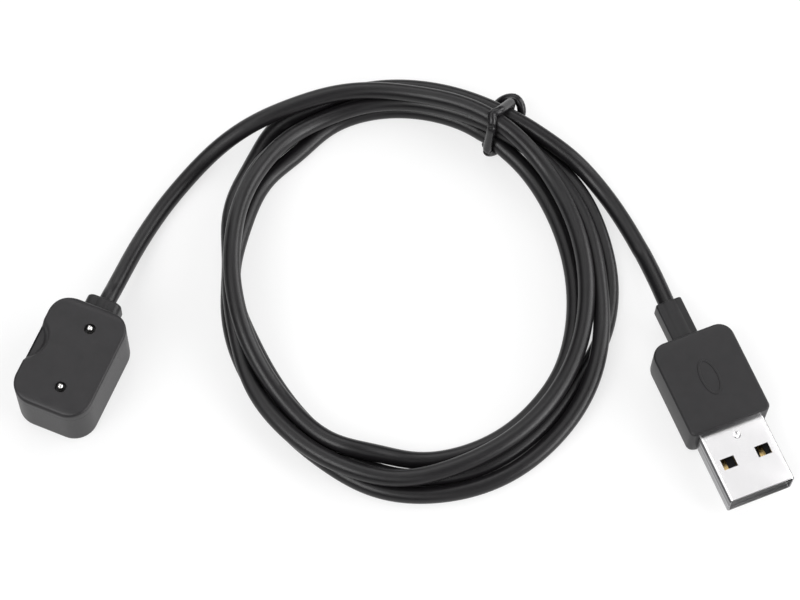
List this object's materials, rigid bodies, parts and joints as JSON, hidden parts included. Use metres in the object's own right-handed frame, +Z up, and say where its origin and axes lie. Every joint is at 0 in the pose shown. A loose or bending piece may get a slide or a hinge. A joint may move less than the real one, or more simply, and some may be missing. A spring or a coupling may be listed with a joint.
{
  "type": "magnetic charging cable",
  "caption": "Wearable charging cable: small magnetic head with sprung contact pins, round cord wound up in a wire tie, and a USB-A plug.",
  "frame": {"origin": "middle of the charging head's underside, measured without the cord and what is on it, on the surface that everything lies on", "axes": "+Z up through the contact pins, +Y along the charging head towards the end that the cord leaves, +X to the right when looking along +Y"},
  "size_m": [0.1276, 0.0921, 0.0118],
  "materials": {
    "black_shell": "fine matte texture, dark grey side walls",
    "black_cover": "fine matte texture, near black",
    "board": "green solder mask",
    "solder": "bright solder",
    "magnet": "nickel plate",
    "gold_plated": "thin gold plate",
    "spring_wire": "drawn wire",
    "pin_tip": "bright plated tip",
    "wire_red": "smooth insulation",
    "wire_black": "smooth insulation",
    "crimp": "pressed metal ring",
    "soft_black": "soft moulded, satin",
    "cord": "satin flexible PVC",
    "tie": "black coated wire",
    "overmould": "fine satin texture",
    "inner_mould": "natural white",
    "shell_metal": "bright nickel-plated sheet",
    "insulator": "moulded black"
  },
  "bodies": {
    "root": {"head_base_cover": "black_shell", "head_top_cover": "black_cover", "head_circuit_board": "board", "head_solder_joints": "solder", "head_magnet_front": "magnet", "head_magnet_rear": "magnet", "pin_barrel_front": "gold_plated", "pin_barrel_rear": "gold_plated", "pin_spring_front": "spring_wire", "pin_spring_rear": "spring_wire", "head_wire_red": "wire_red", "head_wire_black": "wire_black", "head_cord_crimp": "crimp", "head_cord_collar": "soft_black", "dock_lead": "cord", "cord_coil": "cord", "cord_tie": "tie", "plug_lead": "cord", "plug_boot": "soft_black", "plug_overmould": "overmould", "plug_inner_mould": "inner_mould", "plug_shell": "shell_metal", "plug_insulator": "insulator", "plug_contact_supply": "gold_plated", "plug_contact_data_a": "gold_plated", "plug_contact_data_b": "gold_plated", "plug_contact_ground": "gold_plated", "plug_wire_red": "wire_red", "plug_wire_black": "wire_black", "plug_solder_joints": "solder"},
    "pin_front": {"pin_plunger_front": "pin_tip"},
    "pin_rear": {"pin_plunger_rear": "pin_tip"}
  },
  "joints": [
    {"name": "pin_front_press", "type": "slide", "parent": "root", "child": "pin_front", "axis": [0, 0, 1], "range_m": [-0.0007, 0], "stiffness_N_per_m": 350, "springref_m": 0.001, "deforming": ["pin_spring_front"]},
    {"name": "pin_rear_press", "type": "slide", "parent": "root", "child": "pin_rear", "axis": [0, 0, 1], "range_m": [-0.0007, 0], "stiffness_N_per_m": 350, "springref_m": 0.001, "deforming": ["pin_spring_rear"]}
  ]
}
